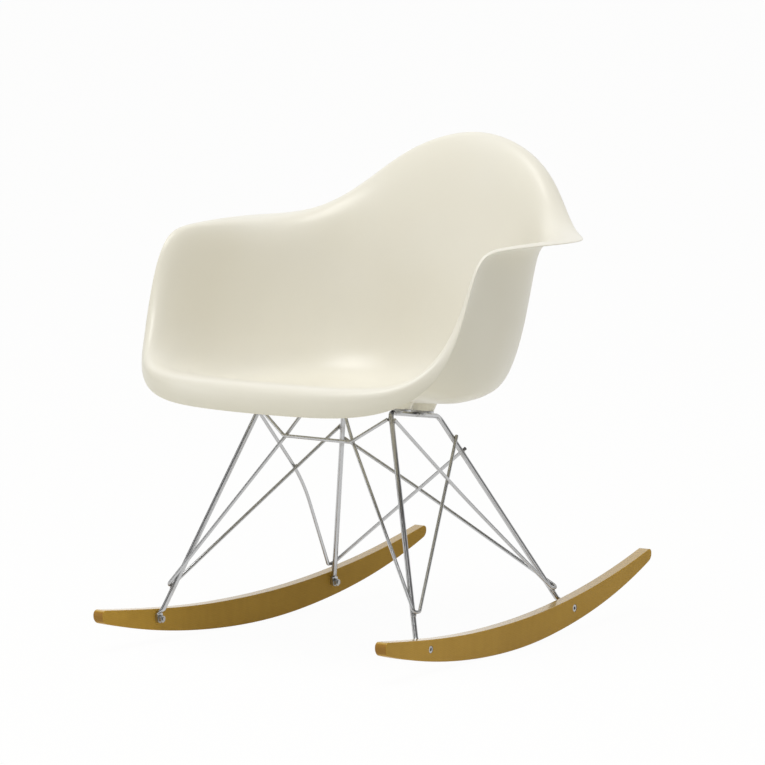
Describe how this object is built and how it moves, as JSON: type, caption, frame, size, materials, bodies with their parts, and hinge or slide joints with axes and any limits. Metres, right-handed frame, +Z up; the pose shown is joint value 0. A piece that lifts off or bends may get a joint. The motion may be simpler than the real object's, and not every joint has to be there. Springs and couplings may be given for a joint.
{
  "type": "rocking chair",
  "caption": "Moulded plastic armchair shell bolted to a crossed wire base that stands on two curved wooden rockers.",
  "frame": {"origin": "on the floor, in the mirror plane, midway between the rockers' front and rear tips", "axes": "+Z up, the sitter faces -Y, and +X is to the sitter's left; the chair is its own mirror image in X = 0, apart from which of the two crossed rear wires lies behind the other"},
  "size_m": [0.6302, 0.7862, 0.7613],
  "materials": {
    "shell_plastic": "satin, off-white",
    "insert_brass": "plain turned",
    "zinc_steel": "zinc plated",
    "bright_steel": "bright chrome plated",
    "rocker_wood": "clear lacquered"
  },
  "bodies": {
    "root": {"seat_shell": "shell_plastic", "threaded_inserts": "insert_brass", "mounting_screws": "zinc_steel", "mounting_washers": "zinc_steel", "front_mounting_strap": "bright_steel", "rear_mounting_strap": "bright_steel", "left_leg_frame": "bright_steel", "right_leg_frame": "bright_steel", "left_front_brace": "bright_steel", "right_front_brace": "bright_steel", "left_rear_brace": "bright_steel", "right_rear_brace": "bright_steel", "front_belt_wire": "bright_steel", "left_rocker": "rocker_wood", "right_rocker": "rocker_wood", "left_rocker_bolts": "zinc_steel", "right_rocker_bolts": "zinc_steel", "left_foot_washers": "zinc_steel", "right_foot_washers": "zinc_steel", "left_rocker_nuts": "zinc_steel", "right_rocker_nuts": "zinc_steel"}
  },
  "joints": []
}
